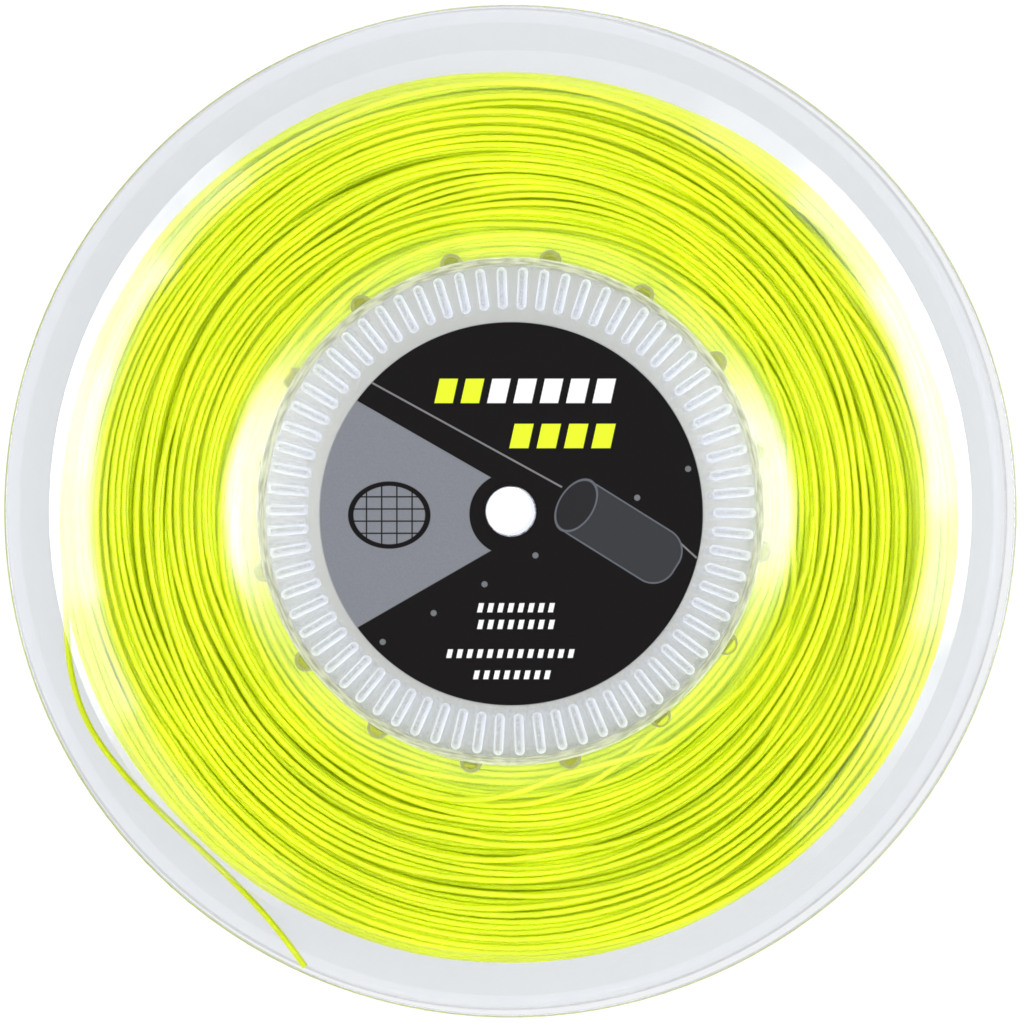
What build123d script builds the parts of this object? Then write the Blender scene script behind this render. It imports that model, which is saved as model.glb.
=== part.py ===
"""String reel: a clear two-part reel wound with racket string.

The reel lies flat on its rear flange. Its spindle bore runs along +Z, the origin is
where the bore axis meets the surface that the reel lies on, and the label faces +Z.
All sizes are in millimetres.
"""
from build123d import *
from math import cos, pi, radians, sin, tan
import os

# ---------------------------------------------------------------- driving dimensions
# Flanges
flange_diameter = 200.0
reel_width = 34.0                   # over the two rim beads
wall = 1.5
bead_height = 0.3                   # the rim bead stands proud of the flange face
bead_inner_radius = 97.1
groove_inner_radius = 91.1          # shallow moulded band just inside the bead
groove_depth = 0.2
rim_round = 0.6
flange_dish = 0.8                   # each flange dips towards the string between hub and groove
# Hub and spindle bore
hub_radius = 50.0
hub_draft = 0.2                     # taken off the radius at the joint plane
bore_diameter = 9.5
bore_wall = 1.25
# Gussets that stiffen the corner between hub and flange
gusset_count = 16
gusset_phase = 16.5
gusset_base_radius = 2.5
gusset_top_radius = 1.5
gusset_height = 2.5
# Slim round-ended ribs that stand on the flange just inside the hub wall
rib_count = 70
rib_phase = 3.39
rib_inner_radius = 39.9
rib_outer_radius = 48.3
rib_width = 2.0
rib_height = 12.0
rib_top_length = 6.6
rib_top_width = 0.7
# Posts that join the halves: pegs on one side of the turn-over line, sockets on the other
post_count = 6
post_circle_radius = 27.0
post_radius = 2.8
peg_radius = 1.4
peg_length = 4.0
socket_radius = 1.45
socket_depth = 4.5
# Round ejector marks inside the rim
mark_count = 4
mark_phase = 53.0
mark_circle_radius = 93.6
mark_radius = 1.1
mark_depth = 0.2
# The front half is the same moulding turned over about a line in the joint plane
turn_over_line = 37.5
# Printed label
label_radius = 38.0
label_hole_radius = 5.0
label_thickness = 0.15
label_centre = (0.1, -0.45)         # stuck on slightly low
# Wound string
string_diameter = 1.25
winding_radius = 88.5
winding_clearance = 0.05

# ---------------------------------------------------------------- derived dimensions
flange_radius = flange_diameter / 2
joint_plane = reel_width / 2
flange_inner_face = bead_height + wall
label_face = reel_width - bead_height
bore_radius = bore_diameter / 2
bore_tube_radius = bore_radius + bore_wall

dish_middle_radius = (hub_radius + groove_inner_radius) / 2

os.makedirs("parts", exist_ok=True)


def dished_face(height):
    """The dished stretch of a flange face, outwards from the hub, at this height at its ends."""
    ThreePointArc(
        (hub_radius, height),
        (dish_middle_radius, height + flange_dish),
        (groove_inner_radius, height),
    )


# ---------------------------------------------------------------- one rib
rib_foot = flange_inner_face - wall / 2     # rooted inside the flange
rib_middle = Plane(((rib_inner_radius + rib_outer_radius) / 2, 0, 0))

with BuildPart() as rib:
    with BuildSketch(rib_middle.offset(rib_foot)):
        SlotOverall(rib_outer_radius - rib_inner_radius, rib_width)
    with BuildSketch(rib_middle.offset(flange_inner_face + rib_height)):
        SlotOverall(rib_top_length, rib_top_width)
    loft()

# ---------------------------------------------------------------- corner gussets
with BuildPart(Plane.XY.offset(flange_inner_face - wall / 2)) as gussets:
    with PolarLocations(hub_radius, gusset_count, start_angle=gusset_phase):
        Cone(
            bottom_radius=gusset_base_radius,
            top_radius=gusset_top_radius,
            height=gusset_height + wall / 2,
            align=(Align.CENTER, Align.CENTER, Align.MIN),
        )
    Cylinder(hub_radius - wall / 2, reel_width, mode=Mode.SUBTRACT)


# ---------------------------------------------------------------- rear half
def post_places(side):
    """Points of the posts on one side of the turn-over line, +1 or -1."""
    pitch = 360 / post_count
    angles = [turn_over_line + side * pitch * (i + 0.5) for i in range(post_count // 2)]
    return [
        (post_circle_radius * cos(radians(a)), post_circle_radius * sin(radians(a)))
        for a in angles
    ]


peg_places = post_places(+1)
socket_places = post_places(-1)

with BuildPart() as rear_half:
    # Flange, hub wall and bore tube are one turned profile
    with BuildSketch(Plane.XZ):
        with BuildLine():
            dished_face(bead_height)
            Polyline(
                (groove_inner_radius, bead_height),
                (groove_inner_radius, bead_height + groove_depth),
                (bead_inner_radius, bead_height + groove_depth),
                (bead_inner_radius, 0),
                (flange_radius, 0),
                (flange_radius, flange_inner_face),
                (groove_inner_radius, flange_inner_face),
            )
            dished_face(flange_inner_face)
            Polyline(
                (hub_radius, flange_inner_face),
                (hub_radius - hub_draft, joint_plane),
                (hub_radius - wall, joint_plane),
                (hub_radius - wall, flange_inner_face),
                (bore_tube_radius, flange_inner_face),
                (bore_tube_radius, joint_plane),
                (bore_radius, joint_plane),
                (bore_radius, bead_height),
                (hub_radius, bead_height),
            )
        make_face()
    revolve(axis=Axis.Z)
    rim_edges = rear_half.edges().filter_by(GeomType.CIRCLE).filter_by(
        lambda edge: edge.radius > flange_radius - rim_round
    )
    fillet(rim_edges, rim_round)

    # Ribs and gussets
    with PolarLocations(0, rib_count, start_angle=rib_phase):
        add(rib.part)
    add(gussets.part)

    # Joining posts, half of them with a peg and half with a socket
    with BuildSketch(Plane.XY.offset(flange_inner_face)):
        with Locations(*peg_places, *socket_places):
            Circle(post_radius)
    extrude(amount=joint_plane - flange_inner_face)
    with BuildSketch(Plane.XY.offset(joint_plane)):
        with Locations(*peg_places):
            Circle(peg_radius)
    extrude(amount=peg_length)
    with BuildSketch(Plane.XY.offset(joint_plane)):
        with Locations(*socket_places):
            Circle(socket_radius)
    extrude(amount=-socket_depth, mode=Mode.SUBTRACT)

    # Ejector marks
    with BuildSketch(Plane.XY.offset(flange_inner_face)):
        with PolarLocations(mark_circle_radius, mark_count, start_angle=mark_phase):
            Circle(mark_radius)
    extrude(amount=-mark_depth, mode=Mode.SUBTRACT)

rear_half.part.label = "rear_half"
export_step(rear_half.part, "parts/rear_half.step")

# ---------------------------------------------------------------- front half
turned_over = Plane(
    origin=(0, 0, reel_width),
    x_dir=(cos(radians(2 * turn_over_line)), sin(radians(2 * turn_over_line)), 0),
    z_dir=(0, 0, -1),
)

with BuildPart() as front_half:
    with Locations(turned_over):
        add(rear_half.part)

front_half.part.label = "front_half"
export_step(front_half.part, "parts/front_half.step")

# ---------------------------------------------------------------- front label
with BuildPart() as front_label:
    with BuildSketch(Plane.XY.offset(label_face)):
        with Locations(label_centre):
            Circle(label_radius)
        Circle(label_hole_radius, mode=Mode.SUBTRACT)
    extrude(amount=label_thickness)

front_label.part.label = "front_label"
export_step(front_label.part, "parts/front_label.step")

# ---------------------------------------------------------------- wound string
winding_bore = hub_radius + winding_clearance
gusset_reach = hub_radius + gusset_base_radius + 4 * winding_clearance
gusset_level = flange_inner_face + gusset_height + 2 * winding_clearance

with BuildPart() as string_winding:
    # Lower half of the section: a plain block, less what the flange and the gussets take
    with BuildSketch(Plane.XZ):
        with BuildLine():
            Polyline(
                (winding_bore, joint_plane),
                (winding_bore, gusset_level),
                (gusset_reach, gusset_level),
                (gusset_reach, flange_inner_face),
                (winding_radius, flange_inner_face),
                (winding_radius, joint_plane),
                close=True,
            )
        make_face()
        with BuildLine():
            dished_face(flange_inner_face + winding_clearance)
            Polyline(
                (groove_inner_radius, flange_inner_face + winding_clearance),
                (groove_inner_radius, 0),
                (hub_radius, 0),
                (hub_radius, flange_inner_face + winding_clearance),
            )
        make_face(mode=Mode.SUBTRACT)
    revolve(axis=Axis.Z)
    mirror(about=Plane.XY.offset(joint_plane))

string_winding.part.label = "string_winding"
export_step(string_winding.part, "parts/string_winding.step")

# ---------------------------------------------------------------- free end of the string
string_radius = string_diameter / 2
tail_rest = flange_inner_face + string_radius + 0.05    # lies on the rear flange

# Each point of the route is (angle round the reel in degrees, radius, height)
tail_route_polar = [
    (189.0, 89.3, 6.0),
    (195.0, 91.0, 5.4),
    (201.0, 93.1, 4.5),
    (207.0, 94.1, 3.4),
    (213.5, 93.2, 2.7),
    (221.0, 91.9, tail_rest),
    (228.5, 91.3, tail_rest),
    (236.0, 92.7, tail_rest),
    (241.8, 95.6, tail_rest),
    (246.2, 99.7, tail_rest),
]
tail_route = [
    Vector(r * cos(radians(a)), r * sin(radians(a)), z) for a, r, z in tail_route_polar
]


def arc_radii(route):
    """The largest tangent arc for each corner: 0.45 of its shorter run."""
    radii = []
    for before, corner, after in zip(route, route[1:], route[2:]):
        turn = (corner - before).get_angle(after - corner)
        shorter = min((corner - before).length, (after - corner).length)
        radii.append(0.45 * shorter / tan(radians(turn / 2)))
    return radii


tail_radii = arc_radii(tail_route)

with BuildPart() as string_tail:
    with BuildLine() as tail_path:
        FilletPolyline(*tail_route, radius=tail_radii)
    with BuildSketch(Plane(tail_path.line @ 0, z_dir=tail_path.line % 0)):
        Circle(string_radius)
    sweep()

string_tail.part.label = "string_tail"
export_step(string_tail.part, "parts/string_tail.step")

tail_length = tail_path.wire().length
print("tail arc radii:", [round(radius, 1) for radius in tail_radii])
print("tail length:", round(tail_length, 2))
print("tail volume / (section x length):",
      round(string_tail.part.volume / (pi * string_radius**2 * tail_length), 4))
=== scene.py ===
"""String reel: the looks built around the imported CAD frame.

A clear two-part reel lies flat and is seen from straight above. The scene gives the clear
mouldings and the label their materials, winds 240 m of string between the flanges turn by
turn, and lays the free end of the string on the rear flange.
"""
from math import atan2, cos, degrees, hypot, pi, radians, sin, tan

import bpy
import numpy as np
from mathutils import Matrix, Vector


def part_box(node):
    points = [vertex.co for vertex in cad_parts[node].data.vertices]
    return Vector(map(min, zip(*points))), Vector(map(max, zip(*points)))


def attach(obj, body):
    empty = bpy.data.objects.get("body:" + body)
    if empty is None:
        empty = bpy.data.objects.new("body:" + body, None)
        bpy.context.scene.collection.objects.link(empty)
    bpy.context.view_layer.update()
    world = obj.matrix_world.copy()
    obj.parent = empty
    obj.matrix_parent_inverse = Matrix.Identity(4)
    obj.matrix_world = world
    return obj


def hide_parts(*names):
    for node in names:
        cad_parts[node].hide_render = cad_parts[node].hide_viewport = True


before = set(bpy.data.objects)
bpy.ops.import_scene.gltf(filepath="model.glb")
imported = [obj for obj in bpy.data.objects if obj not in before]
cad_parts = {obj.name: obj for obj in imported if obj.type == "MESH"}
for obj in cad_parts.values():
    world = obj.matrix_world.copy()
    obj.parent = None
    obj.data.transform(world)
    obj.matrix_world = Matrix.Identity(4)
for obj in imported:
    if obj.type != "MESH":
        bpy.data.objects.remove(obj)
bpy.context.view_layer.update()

MM = 0.001
scene = bpy.context.scene

# ---------------------------------------------------------------- sizes, from the frame
reel_low, reel_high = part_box("front_half")
winding_low, winding_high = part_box("string_winding")
label_low, label_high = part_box("front_label")
reel_front = reel_high.z
winding_radius = winding_high.x / MM            # millimetres, as all of the winding is
label_centre = (label_low + label_high) / 2
label_radius = (label_high.x - label_low.x) / 2 / MM

string_diameter = 1.25
flange_wall = 1.8                               # from the lowest level to inside the flange
flange_dish = 0.8
hub_radius = 50.0
groove_radius = 91.1
gusset_reach = 52.7
gusset_level = 4.4
reel_width = reel_front / MM


# ---------------------------------------------------------------- camera
def facing(place, back):
    """The matrix of something at this place that looks away from back, with its Y towards +Y."""
    back = Vector(back).normalized()
    right = Vector((0, 1, 0)).cross(back).normalized()
    turn = Matrix((right, back.cross(right), back)).transposed().to_4x4()
    return Matrix.Translation(place) @ turn


def add_camera():
    """Straight above the reel from 3 m with a long lens, leaning a little to the left and up."""
    distance = 3.0
    lean_x, lean_y = radians(-1.5), radians(0.8)
    view_width = 0.2021                         # what the frame spans at the front face
    aim = Vector((0.00022, -0.0001, reel_front))
    data = bpy.data.cameras.new("camera")
    data.sensor_width = 36
    data.lens = data.sensor_width * distance / view_width
    data.clip_end = 20
    camera = bpy.data.objects.new("camera", data)
    scene.collection.objects.link(camera)
    back = Vector((tan(lean_x), tan(lean_y), 1)).normalized()
    camera.matrix_world = facing(aim + back * distance, back)
    scene.camera = camera


add_camera()

# ---------------------------------------------------------------- free end of the string
# Each point of the route is (angle round the reel in degrees, radius, height) in millimetres
tail_route = [
    (189.0, 89.3, 6.0),
    (195.0, 91.0, 5.4),
    (201.0, 93.1, 4.5),
    (207.0, 94.1, 3.4),
    (213.5, 93.2, 2.7),
    (221.0, 91.9, 2.475),
    (228.5, 91.3, 2.475),
    (236.0, 92.7, 2.475),
    (241.8, 95.6, 2.475),
    (246.2, 99.7, 2.475),
]


def round_the_reel(angle, radius, height):
    """A point in metres from an angle in degrees and a radius and height in millimetres."""
    a = radians(angle)
    return Vector((radius * cos(a), radius * sin(a), height)) * MM


def add_tail():
    """One NURBS curve along the route, as thick as the string."""
    points = [round_the_reel(*point) for point in tail_route]
    curve = bpy.data.curves.new("string_free_end", "CURVE")
    curve.dimensions = "3D"
    curve.resolution_u = 24
    curve.bevel_depth = 1.0                     # times each point's radius
    curve.bevel_resolution = 5
    curve.use_fill_caps = True
    spline = curve.splines.new("NURBS")
    spline.points.add(len(points) - 1)
    for target, point in zip(spline.points, points):
        target.co = (*point, 1)
        target.radius = string_diameter / 2 * MM
    spline.order_u = 3
    spline.use_endpoint_u = True
    tail = bpy.data.objects.new("string_free_end", curve)
    scene.collection.objects.link(tail)
    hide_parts("string_tail")
    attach(tail, "root")
    return tail


tail = add_tail()


# ---------------------------------------------------------------- the winding
# All lengths are in millimetres
string_total = 240000.0         # on a full reel
clearance = 0.05                # between the string and the plastic
turn_samples = 96               # points on one turn
sample_angle = 2 * pi / turn_samples
block = 48                      # points laid at a time
ahead = 24                      # points looked at on either side of them
height_step = 0.05              # between the heights at which the surface is kept
seed = 5
# The guide that lays the string
traverse_pitch = 1.6            # how far it moves in one turn
pitch_spread = 0.25             # the share by which that differs from pass to pass
longest_wait = 0.3              # turns that it may wait at a flange
inset_spread = 0.6              # how far short of a flange it may turn back
hurry_depth = 2.0               # nearer to a flange than this it moves up to twice as fast
# How a turn settles on those under it
nest_distance = 1.13            # between centres of strings that press on each other
slip_reach = 1.0                # how far a turn slides sideways into a valley
slip_effort = 0.25              # how little it likes to
slip_passes = 30                # how gently it does
joining_points = 8.0            # over which a block joins up with the one before
stiffness = 18.0                # how slowly a taut string comes down from a high spot
path_passes = 3                 # how much its path is evened out
squeeze = 0.06                  # how far a string may press into those under it
# Where the string lies loose
looseness = 0.8                 # how far a loose stretch by a flange stands off
loose_depth = 4.0               # and how near to the flange it is
loosest_slack = (-0.8, 1.0)     # range of the draw for a stretch, taut where it is below 0
stretch_points = (10, 34)       # and of its length
loose_side = 250.0              # degrees round the reel to where the layers lie loosest
loose_side_slack = 0.08         # and by how much a layer


def flange_limit(radius):
    """How high the rear flange and its gussets reach where the string is this far out."""
    middle = (hub_radius + groove_radius) / 2
    x = np.clip((radius - middle) / (middle - hub_radius), -1, 1)
    limit = flange_wall + flange_dish * (1 - x * x)
    return max(limit, gusset_level) if radius < gusset_reach else limit


def eased(share):
    """A share from 0 to 1 that starts and ends gently."""
    return share * share * (3 - 2 * share)


def smoothed(values, passes):
    """Values in a row after so many passes of a 1-2-1 average."""
    for _ in range(passes):
        left = np.concatenate([values[:1], values[:-1]])
        right = np.concatenate([values[1:], values[-1:]])
        values = 0.25 * left + 0.5 * values + 0.25 * right
    return values


# How far a taut string is down, so many points away from what holds it up
drops = stiffness * (np.arange(1, ahead + 1) * sample_angle) ** 2


class Guide:
    """The traverse that lays the string from flange to flange and back."""

    def __init__(self, rng, height):
        self.rng = rng
        self.height = height
        self.direction = 1.0
        self.set_off()

    def set_off(self):
        """Each pass starts after a short wait and has its own speed and turning point."""
        self.wait = int(self.rng.uniform(0, longest_wait) * turn_samples)
        self.inset = abs(self.rng.normal(0, inset_spread))
        share = self.rng.uniform(1 - pitch_spread, 1 + pitch_spread)
        self.speed = traverse_pitch / turn_samples * share

    def step(self, low, high):
        """Moves on by one point, between these heights."""
        if self.wait > 0:
            self.wait -= 1
            return self.height
        near = max(min(self.height - low, high - self.height), 0)
        self.height += self.direction * self.speed * (1 + np.exp(-near / hurry_depth))
        low, high = low + self.inset, high - self.inset
        if self.direction > 0 and self.height > high or self.direction < 0 and self.height < low:
            self.height = high if self.direction > 0 else low
            self.direction = -self.direction
            self.set_off()
        return self.height


class Slack:
    """The string's tension: taut, with a loose stretch now and then."""

    def __init__(self, rng):
        self.rng = rng
        self.value = 0.0
        self.coming = []

    def step(self):
        """The slack of the next point, from 0 to 1."""
        if not self.coming:
            start, self.value = self.value, max(0.0, self.rng.uniform(*loosest_slack))
            count = int(self.rng.uniform(*stretch_points))
            self.coming = list(start + (self.value - start) * eased(np.arange(count) / count))
        return self.coming.pop(0)


class Winding:
    """The string laid so far, and the surface that the next turn lies on."""

    def __init__(self):
        self.grid = np.arange(0, reel_width + height_step / 2, height_step)
        bottom = hub_radius + clearance + string_diameter / 2
        self.surface = np.full((turn_samples, len(self.grid)), bottom)
        # The first points are a run-in of the string, and are left out at the end
        self.radii = np.full(ahead, bottom)
        self.heights = np.full(ahead, flange_limit(bottom) + string_diameter / 2)
        self.slips = np.zeros(ahead)

    def limits(self):
        """The lowest and highest place for the string's centre."""
        low = flange_limit(self.radii[-ahead:].mean()) + string_diameter / 2 + clearance
        return low, reel_width - low

    def settle(self, guided, rows):
        """The heights after the string has slid sideways into the nearest valleys."""
        low, high = self.limits()
        reach = int(slip_reach / height_step)
        slides = np.arange(-reach, reach + 1)
        cell = np.clip(np.round(guided / height_step).astype(int), 0, len(self.grid) - 1)
        near = np.clip(cell[:, None] + slides, 0, len(self.grid) - 1)
        effort = slip_effort * (slides * height_step) ** 2 / slip_reach
        best = slides[np.argmin(self.surface[rows[:, None], near] + effort, axis=1)]
        slip = np.concatenate([self.slips[-ahead:], best * height_step])
        slip = smoothed(slip, slip_passes)[ahead:]
        self.slips = np.concatenate([self.slips, slip[:block]])
        height = np.clip(guided + slip, low, high)
        fade = np.exp(-np.arange(len(height)) / joining_points)
        return np.clip(height + (self.heights[-1] - height[0]) * fade, low, high)

    def lay(self, guided, slack):
        """Lays one block of points, with those beyond it only looked at."""
        rows = (len(self.radii) - ahead + np.arange(block + ahead)) % turn_samples
        height = self.settle(guided, rows)
        cell = np.clip((height / height_step).astype(int), 0, len(self.grid) - 2)
        support = np.maximum(self.surface[rows, cell], self.surface[rows, cell + 1])
        low, high = self.limits()
        near = np.maximum(np.minimum(height - low, high - height), 0)
        support += looseness * slack * np.exp(-near / loose_depth)
        support += loose_side_slack * (1 + np.cos(rows * sample_angle - radians(loose_side))) / 2
        support = np.concatenate([self.radii[-ahead:], support])
        # A taut string comes down slowly on both sides of what holds it up
        path = support.copy()
        for i, drop in enumerate(drops, 1):
            path[i:] = np.maximum(path[i:], support[:-i] - drop)
            path[:-i] = np.maximum(path[:-i], support[i:] - drop)
        path[:ahead] = self.radii[-ahead:]
        path = np.maximum(smoothed(path, path_passes), support - squeeze)
        self.take(path[ahead : ahead + block], height[:block], rows[:block], cell[:block])

    def take(self, radius, height, rows, cell):
        """The surface grows round the new points."""
        reach = int(nest_distance / height_step) + 1
        for offset in range(-reach, reach + 1):
            index = cell + offset
            inside = (index >= 0) & (index < len(self.grid))
            index = np.clip(index, 0, len(self.grid) - 1)
            rise = nest_distance**2 - (self.grid[index] - height) ** 2
            grown = np.where(inside & (rise > 0), radius + np.sqrt(np.maximum(rise, 0)), 0)
            self.surface[rows, index] = np.maximum(self.surface[rows, index], grown)
        self.radii = np.concatenate([self.radii, radius])
        self.heights = np.concatenate([self.heights, height])


def wind_string():
    """Winds the string on. Gives the radii and heights of its points, in millimetres."""
    rng = np.random.default_rng(seed)
    winding = Winding()
    guide = Guide(rng, winding.heights[-1])
    slack = Slack(rng)
    guided, slacks = [], []
    end_angle, _, end_height = tail_route[0]
    end = None
    while end is None or len(winding.radii) - ahead <= end:
        laid = winding.radii[ahead:].sum() * sample_angle
        while end is None and len(guided) < block + ahead:
            guided.append(guide.step(*winding.limits()))
        if end is None and laid > string_total - 3 * pi * winding_radius:
            # The last turn crosses over to where the free end begins
            here = len(winding.radii) - ahead + len(guided)
            turns = here // turn_samples + 2
            end = turns * turn_samples + int(end_angle / 360 * turn_samples)
            share = eased(np.linspace(0, 1, end - here))
            guided.extend(guide.height + (end_height - guide.height) * share)
            guided.extend([end_height] * (2 * block + ahead))
        while len(slacks) < block + ahead:
            slacks.append(slack.step())
        winding.lay(np.array(guided[: block + ahead]), np.array(slacks[: block + ahead]))
        del guided[:block], slacks[:block]
    radii = winding.radii[ahead : ahead + end + 1].copy()
    heights = winding.heights[ahead : ahead + end + 1]
    # The taut string is already on its way up before each sudden rise
    for i, drop in enumerate(drops, 1):
        radii[:-i] = np.maximum(radii[:-i], radii[i:] - drop)
    return radii, heights


def tube(name, centres, outward, sides=6):
    """A closed mesh tube of the string's diameter round these centres, in millimetres."""
    count = len(centres)
    angles = np.arange(sides) * 2 * pi / sides
    up = np.array([0.0, 0.0, 1.0])
    ring = np.cos(angles)[None, :, None] * outward[:, None, :] + np.sin(angles)[None, :, None] * up
    points = (centres[:, None, :] + ring * string_diameter / 2) * MM
    start = np.arange(count - 1)[:, None] * sides
    corner = np.arange(sides)[None, :]
    after = (corner + 1) % sides
    quads = np.stack(
        [start + corner, start + after, start + sides + after, start + sides + corner], axis=-1
    ).reshape(-1, 4)
    caps = np.array([np.arange(sides)[::-1], (count - 1) * sides + np.arange(sides)])
    mesh = bpy.data.meshes.new(name)
    mesh.vertices.add(count * sides)
    mesh.vertices.foreach_set("co", points.astype(np.float32).ravel())
    corners = np.concatenate([quads.ravel(), caps.ravel()])
    mesh.loops.add(len(corners))
    mesh.loops.foreach_set("vertex_index", corners.astype(np.int32))
    starts = np.concatenate([np.arange(len(quads)) * 4, len(quads) * 4 + np.array([0, sides])])
    mesh.polygons.add(len(starts))
    mesh.polygons.foreach_set("loop_start", starts.astype(np.int32))
    smooth = np.ones(len(starts), bool)
    smooth[-2:] = False
    mesh.polygons.foreach_set("use_smooth", smooth)
    mesh.update(calc_edges=True)
    mesh.validate()
    piece = bpy.data.objects.new(name, mesh)
    scene.collection.objects.link(piece)
    return piece


def add_winding(pieces=4):
    """The whole wound string, as one run of string in a few lengths that join end to end."""
    radius, height = wind_string()
    angle = np.arange(len(radius)) * sample_angle
    # The last points rise off the winding to meet the free end
    end_angle, end_radius, end_height = tail_route[0]
    angle[-1] += radians(end_angle) - angle[-1] % (2 * pi)
    rising = 5
    share = (np.arange(1, rising + 1) / rising) ** 2
    radius[-rising:] += share * (end_radius - radius[-1])
    height[-rising:] += share * (end_height - height[-1])
    outward = np.stack([np.cos(angle), np.sin(angle), np.zeros_like(angle)], axis=1)
    centres = outward * radius[:, None]
    centres[:, 2] = height
    cuts = np.linspace(0, len(centres) - 1, pieces + 1).astype(int)
    made = []
    for i, (start, stop) in enumerate(zip(cuts, cuts[1:])):
        span = slice(start, stop + 1)
        piece = tube(f"wound_string_{i + 1}", centres[span], outward[span])
        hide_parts("string_winding")
        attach(piece, "root")
        made.append(piece)
    length = float(np.linalg.norm(np.diff(centres, axis=0), axis=1).sum()) / 1000
    print("turns", len(centres) // turn_samples, "length", round(length, 2), "m")
    print("largest radius", round(float(radius.max()) + string_diameter / 2, 2))
    return made


winding = add_winding()


# ---------------------------------------------------------------- node words
class Nodes:
    """Short words for building a material's nodes."""

    def __init__(self, tree):
        self.tree = tree

    def add(self, kind, **settings):
        node = self.tree.nodes.new(kind)
        for key, value in settings.items():
            setattr(node, key, value)
        return node

    def put(self, socket, value):
        if value is None:
            return
        if isinstance(value, bpy.types.NodeSocket):
            self.tree.links.new(value, socket)
        else:
            socket.default_value = value

    def math(self, operation, a, b=None):
        node = self.add("ShaderNodeMath", operation=operation)
        self.put(node.inputs[0], a)
        self.put(node.inputs[1], b)
        return node.outputs[0]

    def vector(self, operation, a, b=None):
        node = self.add("ShaderNodeVectorMath", operation=operation)
        self.put(node.inputs[0], a)
        if operation == "SCALE":
            self.put(node.inputs["Scale"], b)
        else:
            self.put(node.inputs[1], b)
        return node.outputs["Value" if operation in ("DOT_PRODUCT", "LENGTH") else "Vector"]

    def colour_mix(self, factor, a, b):
        node = self.add("ShaderNodeMix", data_type="RGBA")
        self.put(node.inputs[0], factor)
        self.put(node.inputs[6], a)
        self.put(node.inputs[7], b)
        return node.outputs[2]

    def ramp(self, value, low, high, to_low=0.0, to_high=1.0):
        """A smooth step from to_low where value is low to to_high where it is high."""
        node = self.add("ShaderNodeMapRange", interpolation_type="SMOOTHSTEP")
        self.put(node.inputs[0], value)
        for i, number in enumerate((low, high, to_low, to_high)):
            node.inputs[i + 1].default_value = number
        return node.outputs[0]

    def between(self, value, low, high, soft):
        """1 where value is between low and high, and 0 outside them."""
        rise = self.ramp(value, low, low + soft)
        return self.math("MULTIPLY", rise, self.ramp(value, high, high - soft))

    def noise(self, vector, scale, detail=3.0):
        node = self.add("ShaderNodeTexNoise")
        self.put(node.inputs["Vector"], vector)
        node.inputs["Scale"].default_value = scale
        node.inputs["Detail"].default_value = detail
        return node.outputs["Fac"]

    def millimetres(self):
        """The point on the object in millimetres, in the reel's own frame."""
        return self.vector("SCALE", self.add("ShaderNodeTexCoord").outputs["Object"], 1 / MM)


def new_material(name):
    material = bpy.data.materials.new(name)
    material.use_nodes = True
    nodes = Nodes(material.node_tree)
    shader = material.node_tree.nodes["Principled BSDF"]
    return material, nodes, shader


def give(piece, material):
    """Puts the material on the piece's slots."""
    if not piece.material_slots:
        piece.data.materials.append(material)
    for slot in piece.material_slots:
        slot.material = material


# ---------------------------------------------------------------- string
def string_material():
    """Smooth fluorescent polyester monofilament."""
    material, nodes, shader = new_material("polyester_string")
    place = nodes.millimetres()
    patch = nodes.noise(place, 0.05, 2.0)
    colour = nodes.colour_mix(
        nodes.ramp(patch, 0.35, 0.65), (0.71, 0.82, 0.003, 1), (0.78, 0.88, 0.006, 1)
    )
    nodes.put(shader.inputs["Base Color"], colour)
    shader.inputs["Roughness"].default_value = 0.32
    shader.inputs["IOR"].default_value = 1.5
    shader.inputs["Emission Color"].default_value = (0.6, 0.75, 0.0, 1)
    # Painted glow: a faint emission all over the string, stronger round the hub, where it stands in
    # for light that the clear hub passes on to the turns round it
    radius = nodes.vector("LENGTH", nodes.vector("MULTIPLY", place, (1, 1, 0)))
    nodes.put(shader.inputs["Emission Strength"], nodes.ramp(radius, 61, 52, 0.05, 0.15))
    return material


polyester = string_material()
for piece in (*winding, tail):
    give(piece, polyester)


# ---------------------------------------------------------------- clear plastic
# Radii in millimetres
ribs_end = 48.5
wall_ring = (48.4, 50.3)
gusset_ring = (50.0, 53.2)
rim_radius = 99.3
edge_soft = 0.2                 # over which a ring fades in and out


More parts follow.
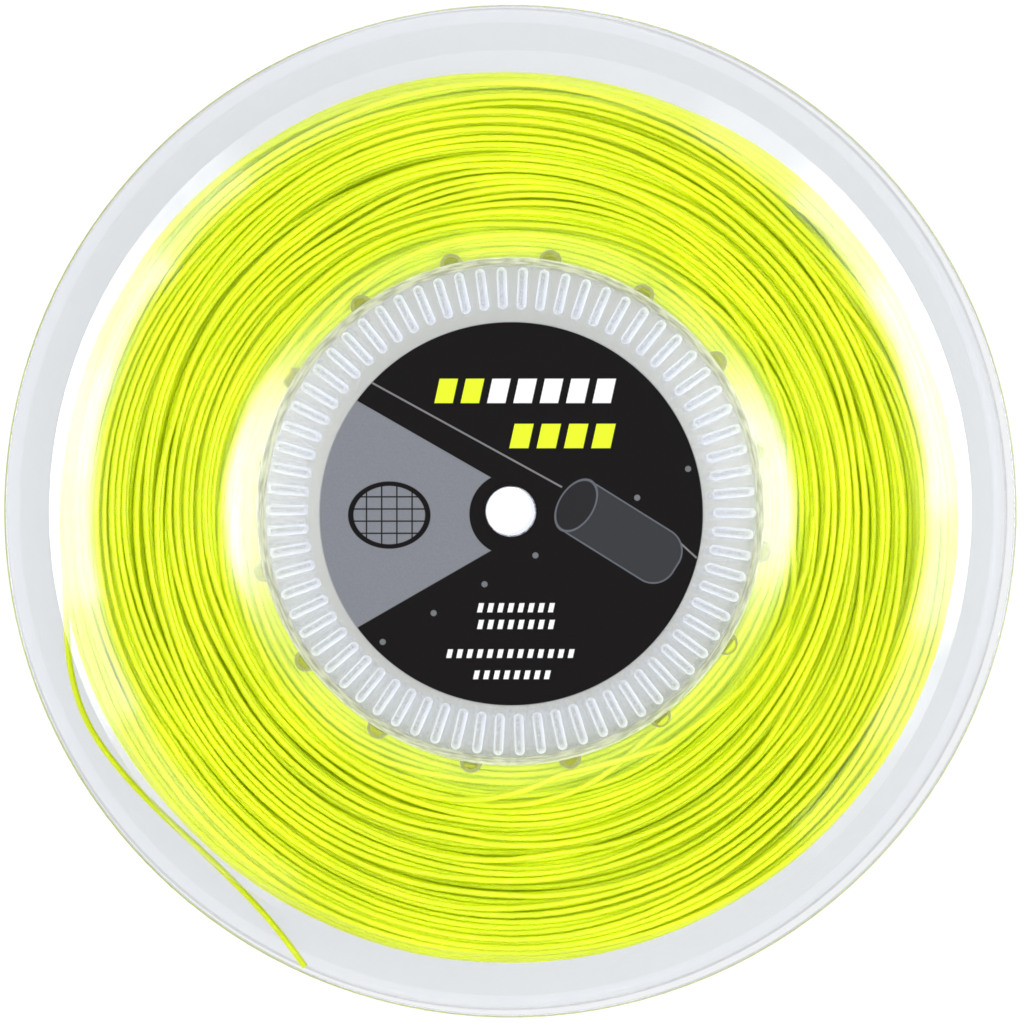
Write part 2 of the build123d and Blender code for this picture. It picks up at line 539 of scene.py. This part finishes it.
def clear_plastic():
    """Clear moulded polystyrene: polished flanges, frosted ribs and hub wall."""
    material, nodes, shader = new_material("clear_polystyrene")
    place = nodes.millimetres()
    flat = nodes.vector("MULTIPLY", place, (1, 1, 0))
    radius = nodes.vector("LENGTH", flat)
    height = nodes.vector("DOT_PRODUCT", place, (0, 0, 1))
    normal = nodes.add("ShaderNodeSeparateXYZ")
    nodes.put(normal.inputs[0], nodes.add("ShaderNodeTexCoord").outputs["Normal"])
    steep = nodes.ramp(nodes.math("ABSOLUTE", normal.outputs["Z"]), 0.7, 0.3)
    # What stands on the inside of a flange lies nearer to the joint plane than this
    level = nodes.math("ABSOLUTE", nodes.math("SUBTRACT", height, reel_width / 2))
    raised = nodes.ramp(level, reel_width / 2 - 2.05, reel_width / 2 - 2.15)
    gusset = nodes.math("MULTIPLY", raised, nodes.between(radius, *gusset_ring, edge_soft))
    ribbed = nodes.ramp(radius, ribs_end, ribs_end - 0.1)
    wall = nodes.between(radius, *wall_ring, edge_soft)
    # Painted shade: the ribbed middle lets less light through, tinted greener, where the label
    # shades the hub and the string's light falls; the thicker rim takes out more light
    middle = nodes.ramp(radius, ribs_end + 2, ribs_end)
    rim = nodes.ramp(radius, rim_radius, rim_radius + 0.5)
    tint_and_shade = nodes.colour_mix(middle, (0.926, 0.938, 0.956, 1), (0.79, 0.80, 0.775, 1))
    tint_and_shade = nodes.colour_mix(rim, tint_and_shade, (0.50, 0.50, 0.53, 1))
    # Painted shade on the gussets: darker to see through, lilac on their tops and dark olive on
    # their steep sides
    shade = nodes.colour_mix(steep, (0.34, 0.30, 0.45, 1), (0.16, 0.16, 0.12, 1))
    tint_and_shade = nodes.colour_mix(gusset, tint_and_shade, shade)
    nodes.put(shader.inputs["Base Color"], tint_and_shade)
    # The polish is hazy round the hub and inside the moulded band at the rim
    inner_haze = nodes.ramp(radius, 60, 52, 0.0, 0.8)
    band = nodes.ramp(radius, groove_radius + 0.5, groove_radius)
    outer_haze = nodes.math("MULTIPLY", nodes.ramp(radius, 79, 87, 0.0, 0.3), band)
    haze = nodes.math("MAXIMUM", inner_haze, outer_haze)
    nodes.put(shader.inputs["Roughness"], nodes.ramp(haze, 0, 1, 0.04, 0.13))
    shader.inputs["Transmission Weight"].default_value = 1.0
    shader.inputs["IOR"].default_value = 1.57
    # Lamps shine through it, so that it casts no solid shadow
    lamp_path = nodes.add("ShaderNodeBsdfTransparent")
    lamp_path.inputs["Color"].default_value = (0.93, 0.94, 0.94, 1)
    clear = nodes.add("ShaderNodeMixShader")
    nodes.put(clear.inputs[0], nodes.add("ShaderNodeLightPath").outputs["Is Shadow Ray"])
    nodes.put(clear.inputs[1], shader.outputs[0])
    nodes.put(clear.inputs[2], lamp_path.outputs[0])
    # Frosted faces scatter light both ways. Their colour has painted light in it: the string's
    # yellow light on the hub wall, and painted olive shade on the gussets
    white = nodes.colour_mix(wall, (0.94, 0.95, 1.0, 1), (0.96, 0.98, 0.80, 1))
    white = nodes.colour_mix(gusset, white, (0.42, 0.43, 0.10, 1))
    front = nodes.add("ShaderNodeBsdfDiffuse")
    nodes.put(front.inputs["Color"], white)
    through = nodes.add("ShaderNodeBsdfTranslucent")
    nodes.put(through.inputs["Color"], white)
    both = nodes.add("ShaderNodeMixShader")
    nodes.put(both.inputs[1], front.outputs[0])
    nodes.put(both.inputs[2], through.outputs[0])
    # Painted glow: emission on the frosted faces, weaker on the hub wall, that stands in for the
    # light the plastic round them gathers
    painted_glow = nodes.add("ShaderNodeEmission")
    nodes.put(painted_glow.inputs["Color"], white)
    nodes.put(painted_glow.inputs["Strength"], nodes.ramp(wall, 0, 1, 0.175, 0.07))
    frost = nodes.add("ShaderNodeAddShader")
    nodes.put(frost.inputs[0], both.outputs[0])
    nodes.put(frost.inputs[1], painted_glow.outputs[0])
    # How frosted each stretch is, first the flanks and mottled tops of the ribs
    flanks = nodes.math("MULTIPLY", nodes.math("MULTIPLY", steep, ribbed), 0.85)
    mottle = nodes.ramp(nodes.noise(place, 1.8, 2.0), 0.35, 0.65, 0.1, 0.6)
    tops = nodes.math("MULTIPLY", nodes.math("MULTIPLY", raised, ribbed), mottle)
    amount = nodes.math("MAXIMUM", flanks, tops)
    # Ripples that run along the wall: slow round the reel, quick across it
    round_it = nodes.vector("SCALE", nodes.vector("NORMALIZE", flat), 14.0)
    across_it = nodes.vector("SCALE", (0.0, 0.0, 1.0), nodes.math("MULTIPLY", radius, 2.2))
    ripple = nodes.noise(nodes.vector("ADD", round_it, across_it), 1.0, 3.0)
    ripple = nodes.ramp(ripple, 0.35, 0.65, 0.3, 0.6)
    amount = nodes.math("MAXIMUM", amount, nodes.math("MULTIPLY", wall, ripple))
    # The sides of the gussets, and a thin veil round the hub
    sides = nodes.math("MULTIPLY", gusset, nodes.ramp(steep, 0, 1, 0.0, 0.8))
    amount = nodes.math("MAXIMUM", amount, sides)
    amount = nodes.math("MAXIMUM", amount, nodes.ramp(radius, 59, 51, 0.0, 0.035))
    mix = nodes.add("ShaderNodeMixShader")
    nodes.put(mix.inputs[0], amount)
    nodes.put(mix.inputs[1], clear.outputs[0])
    nodes.put(mix.inputs[2], frost.outputs[0])
    output = material.node_tree.nodes["Material Output"]
    nodes.put(output.inputs["Surface"], mix.outputs[0])
    return material


polystyrene = clear_plastic()
for node in ("rear_half", "front_half"):
    give(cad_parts[node], polystyrene)


# ---------------------------------------------------------------- label
class Print:
    """Flat artwork: shapes painted one over another, in millimetres from the reel's axis."""

    def __init__(self, nodes, ground):
        self.nodes = nodes
        self.colour = ground
        split = nodes.add("ShaderNodeSeparateXYZ")
        nodes.put(split.inputs[0], nodes.millimetres())
        self.x, self.y = split.outputs["X"], split.outputs["Y"]

    def axes(self, place, angle=0.0):
        """Coordinates along and across a direction, from a place."""
        c, s = cos(radians(angle)), sin(radians(angle))
        n = self.nodes
        x, y = n.math("SUBTRACT", self.x, place[0]), n.math("SUBTRACT", self.y, place[1])
        along = n.math("ADD", n.math("MULTIPLY", x, c), n.math("MULTIPLY", y, s))
        across = n.math("SUBTRACT", n.math("MULTIPLY", y, c), n.math("MULTIPLY", x, s))
        return along, across

    def length(self, x, y):
        n = self.nodes
        return n.math("SQRT", n.math("ADD", n.math("MULTIPLY", x, x), n.math("MULTIPLY", y, y)))

    # Each shape is a signed distance, negative inside
    def disc(self, place, radius):
        return self.nodes.math("SUBTRACT", self.length(*self.axes(place)), radius)

    def bar(self, place, angle, half_length, half_height, round_off=0.0):
        n = self.nodes
        along, across = self.axes(place, angle)
        u = n.math("SUBTRACT", n.math("ABSOLUTE", along), half_length - round_off)
        v = n.math("SUBTRACT", n.math("ABSOLUTE", across), half_height - round_off)
        if not round_off:
            return n.math("MAXIMUM", u, v)
        corner = self.length(n.math("MAXIMUM", u, 0.0), n.math("MAXIMUM", v, 0.0))
        return n.math("SUBTRACT", corner, round_off)

    def line(self, start, stop, width):
        run = (stop[0] - start[0], stop[1] - start[1])
        middle = ((start[0] + stop[0]) / 2, (start[1] + stop[1]) / 2)
        return self.bar(middle, degrees(atan2(run[1], run[0])), hypot(*run) / 2, width / 2)

    def left_of(self, start, stop):
        """Negative on the left of the line from start to stop."""
        angle = degrees(atan2(stop[1] - start[1], stop[0] - start[0]))
        return self.nodes.math("MULTIPLY", self.axes(start, angle)[1], -1.0)

    def oval(self, place, angle, half_length, half_height):
        n = self.nodes
        along, across = self.axes(place, angle)
        size = self.length(
            n.math("DIVIDE", along, half_length), n.math("DIVIDE", across, half_height)
        )
        return n.math("MULTIPLY", n.math("SUBTRACT", size, 1.0), min(half_length, half_height))

    def both(self, shape, *others):
        for other in others:
            shape = self.nodes.math("MAXIMUM", shape, other)
        return shape

    def either(self, shape, *others):
        for other in others:
            shape = self.nodes.math("MINIMUM", shape, other)
        return shape

    def outline(self, shape, width):
        n = self.nodes
        return n.math("SUBTRACT", n.math("ABSOLUTE", shape), width / 2)

    def blocks(self, start, y_range, count, pitch, fill):
        """A row of slanted blocks that stands in for a line of print."""
        n = self.nodes
        slant = 0.22
        middle = (y_range[0] + y_range[1]) / 2
        row = n.math("SUBTRACT", n.math("ABSOLUTE", n.math("SUBTRACT", self.y, middle)),
                     (y_range[1] - y_range[0]) / 2)
        lean = n.math("MULTIPLY", n.math("SUBTRACT", self.y, middle), slant)
        x = n.math("SUBTRACT", n.math("SUBTRACT", self.x, lean), start)
        share = n.math("FRACT", n.math("DIVIDE", x, pitch))
        block = n.math("MULTIPLY", n.math("SUBTRACT", share, fill), pitch)
        stop = (count - 1 + fill) * pitch
        ends = n.math("MAXIMUM", n.math("MULTIPLY", x, -1.0), n.math("SUBTRACT", x, stop))
        return self.both(row, block, ends)

    def paint(self, shape, colour):
        soft = 0.09                             # half the width of a shape's edge
        mask = self.nodes.ramp(shape, soft, -soft)
        self.colour = self.nodes.colour_mix(mask, self.colour, colour)


def label_material():
    """Black satin label with a grey panel, a strung-bed sign, a string's end and rows of blocks."""
    material, nodes, shader = new_material("printed_label")
    grain = nodes.noise(nodes.millimetres(), 3.0, 4.0)
    black, white, yellow = (0.0075, 0.0065, 0.0068, 1), (0.86, 0.87, 0.88, 1), (0.72, 0.90, 0.03, 1)
    grey = nodes.colour_mix(grain, (0.175, 0.185, 0.21, 1), (0.225, 0.235, 0.26, 1))
    slate = (0.040, 0.041, 0.046, 1)
    art = Print(nodes, black)

    # Panel that narrows towards the bore and stops short of it
    panel = art.both(
        art.left_of((8.3, -0.3), (-30.6, 22.0)),
        art.left_of((-31.2, -23.4), (8.3, -0.7)),
        nodes.math("MULTIPLY", art.disc((0.0, -0.5), 8.2), -1.0),
        art.x,
    )
    art.paint(panel, grey)
    # Strung bed
    x, y = -24.0, -0.7
    head = art.oval((x, y), 0.0, 7.6, 6.2)
    art.paint(art.outline(head, 0.9), black)
    bed = [art.line((x + i, y - 7.3), (x + i, y + 7.7), 0.28) for i in (-4.5, -1.5, 1.5, 4.5)]
    bed += [art.line((x - 9, y + i), (x + 9, y + i), 0.28) for i in (-3.6, -1.2, 1.2, 3.6)]
    art.paint(art.both(head, art.either(*bed)), black)
    # Thin string and the dots under it
    thread = (0.20, 0.20, 0.21, 1)
    art.paint(art.line((-27.4, 25.4), (10.1, 4.8), 0.35), thread)
    art.paint(art.line((32.0, -4.9), (36.7, -9.2), 0.35), thread)
    for i in range(7):
        art.paint(art.disc((35.0 - 10.05 * i, 8.4 - 5.69 * i), 0.6), (0.16, 0.17, 0.18, 1))
    # Cut end of a string
    body = art.bar((21.5, -4.2), -32.0, 13.0, 5.6, 4.5)
    art.paint(body, slate)
    art.paint(art.outline(body, 0.3), (0.12, 0.13, 0.15, 1))
    face = art.oval((12.9, 1.2), -32.0, 3.4, 5.6)
    art.paint(face, (0.022, 0.022, 0.025, 1))
    art.paint(art.outline(face, 0.3), (0.12, 0.13, 0.15, 1))
    # Rows of print
    art.paint(art.blocks(-14.6, (21.4, 26.2), 2, 5.2, 0.70), yellow)
    art.paint(art.blocks(-4.2, (21.4, 26.2), 5, 5.2, 0.70), white)
    art.paint(art.blocks(0.2, (12.5, 17.3), 4, 5.4, 0.70), yellow)
    for start, y_range, count in (
        (-6.5, (-19.9, -18.1), 8),
        (-6.5, (-23.2, -21.4), 8),
        (-12.6, (-28.9, -27.2), 13),
        (-7.3, (-33.1, -31.4), 8),
    ):
        art.paint(art.blocks(start, y_range, count, 2.0, 0.5), white)
    edge = art.outline(art.disc((label_centre.x / MM, label_centre.y / MM), label_radius), 0.35)
    art.paint(edge, (0.35, 0.36, 0.36, 1))

    nodes.put(shader.inputs["Base Color"], art.colour)
    shader.inputs["Roughness"].default_value = 0.4
    shader.inputs["Specular IOR Level"].default_value = 0.06
    return material


give(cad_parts["front_label"], label_material())


# ---------------------------------------------------------------- stage
def add_floor():
    """A pale light table, with a brighter patch that shines up the bore."""
    mesh = bpy.data.meshes.new("floor")
    half = 3.0
    mesh.from_pydata(
        [(-half, -half, 0), (half, -half, 0), (half, half, 0), (-half, half, 0)],
        [],
        [(0, 1, 2, 3)],
    )
    floor = bpy.data.objects.new("floor", mesh)
    scene.collection.objects.link(floor)
    material, nodes, shader = new_material("light_table")
    radius = nodes.vector("LENGTH", nodes.millimetres())
    shader.inputs["Base Color"].default_value = (0.15, 0.15, 0.15, 1)
    shader.inputs["Roughness"].default_value = 0.9
    shader.inputs["Specular IOR Level"].default_value = 0.0
    shader.inputs["Emission Color"].default_value = (1, 1, 1, 1)
    nodes.put(shader.inputs["Emission Strength"], nodes.ramp(radius, 7, 5, 0.9, 1.6))
    give(floor, material)


def add_softbox(name, place, size, watts):
    """A soft rectangular lamp that points at the reel and isn't seen itself."""
    data = bpy.data.lights.new(name, "AREA")
    data.shape = "RECTANGLE"
    data.size, data.size_y = size
    data.energy = watts
    lamp = bpy.data.objects.new(name, data)
    scene.collection.objects.link(lamp)
    lamp.matrix_world = facing(Vector(place), place)
    lamp.visible_camera = False
    return lamp


def add_halo():
    """A broken ring of small lamps close above the reel, brightest at its left and right.

    It isn't seen itself, but the dish of the front flange mirrors it just inside the rim.
    """
    height = 0.3
    centre = Vector((0.0079, -0.0042, reel_front + height))
    radius, width, length = 0.05925, 0.0075, 0.017
    dim, bright = 0.7, 12                       # radiance of the ring, and how much its sides add
    first, last, step = -40, 232, 16            # degrees round the reel
    bright_sides = (16, 170)
    for angle in range(first, last + 1, step):
        a = radians(angle)
        glow = max(max(cos(a - radians(side)), 0) ** 8 for side in bright_sides)
        data = bpy.data.lights.new(f"halo_{angle}", "AREA")
        data.shape = "RECTANGLE"
        data.size, data.size_y = width, length
        data.energy = pi * width * length * (dim + bright * glow)
        lamp = bpy.data.objects.new(data.name, data)
        scene.collection.objects.link(lamp)
        place = centre + radius * Vector((cos(a), sin(a), 0))
        lamp.matrix_world = Matrix.Translation(place) @ Matrix.Rotation(a, 4, "Z")
        lamp.visible_camera = False


def add_world():
    """A studio that is bright round the horizon and dark overhead."""
    world = bpy.data.worlds.new("studio")
    world.use_nodes = True
    scene.world = world
    nodes = Nodes(world.node_tree)
    separate = nodes.add("ShaderNodeSeparateXYZ")
    nodes.put(separate.inputs[0], nodes.add("ShaderNodeTexCoord").outputs["Generated"])
    background = world.node_tree.nodes["Background"]
    tone = nodes.ramp(separate.outputs["Z"], 0.2, 0.9)
    nodes.put(
        background.inputs["Color"],
        nodes.colour_mix(tone, (0.93, 0.94, 0.96, 1), (0.01, 0.01, 0.01, 1)),
    )


add_floor()
add_world()
# Narrow strips that the dish mirrors beside the hub, then the general light
for side, x, watts in (("left", -0.287, 1.3), ("right", 0.40, 1.2)):
    add_softbox(f"strip_{side}", (x, 0.02, 2.0), (0.03, 0.28), watts)
soft_distance, soft_height, soft_size, soft_watts = 1.3, 1.6, 0.9, 11.8
for name, x, y in (("top", 0, 1), ("bottom", 0, -1), ("left", -1, 0), ("right", 1, 0)):
    place = (soft_distance * x, soft_distance * y, soft_height)
    add_softbox(f"soft_{name}", place, (soft_size, soft_size), soft_watts)
add_halo()

scene.view_settings.view_transform = "Standard"
scene.cycles.max_bounces = 24
scene.cycles.transmission_bounces = 20
scene.cycles.transparent_max_bounces = 24
scene.cycles.glossy_bounces = 6
scene.cycles.diffuse_bounces = 4
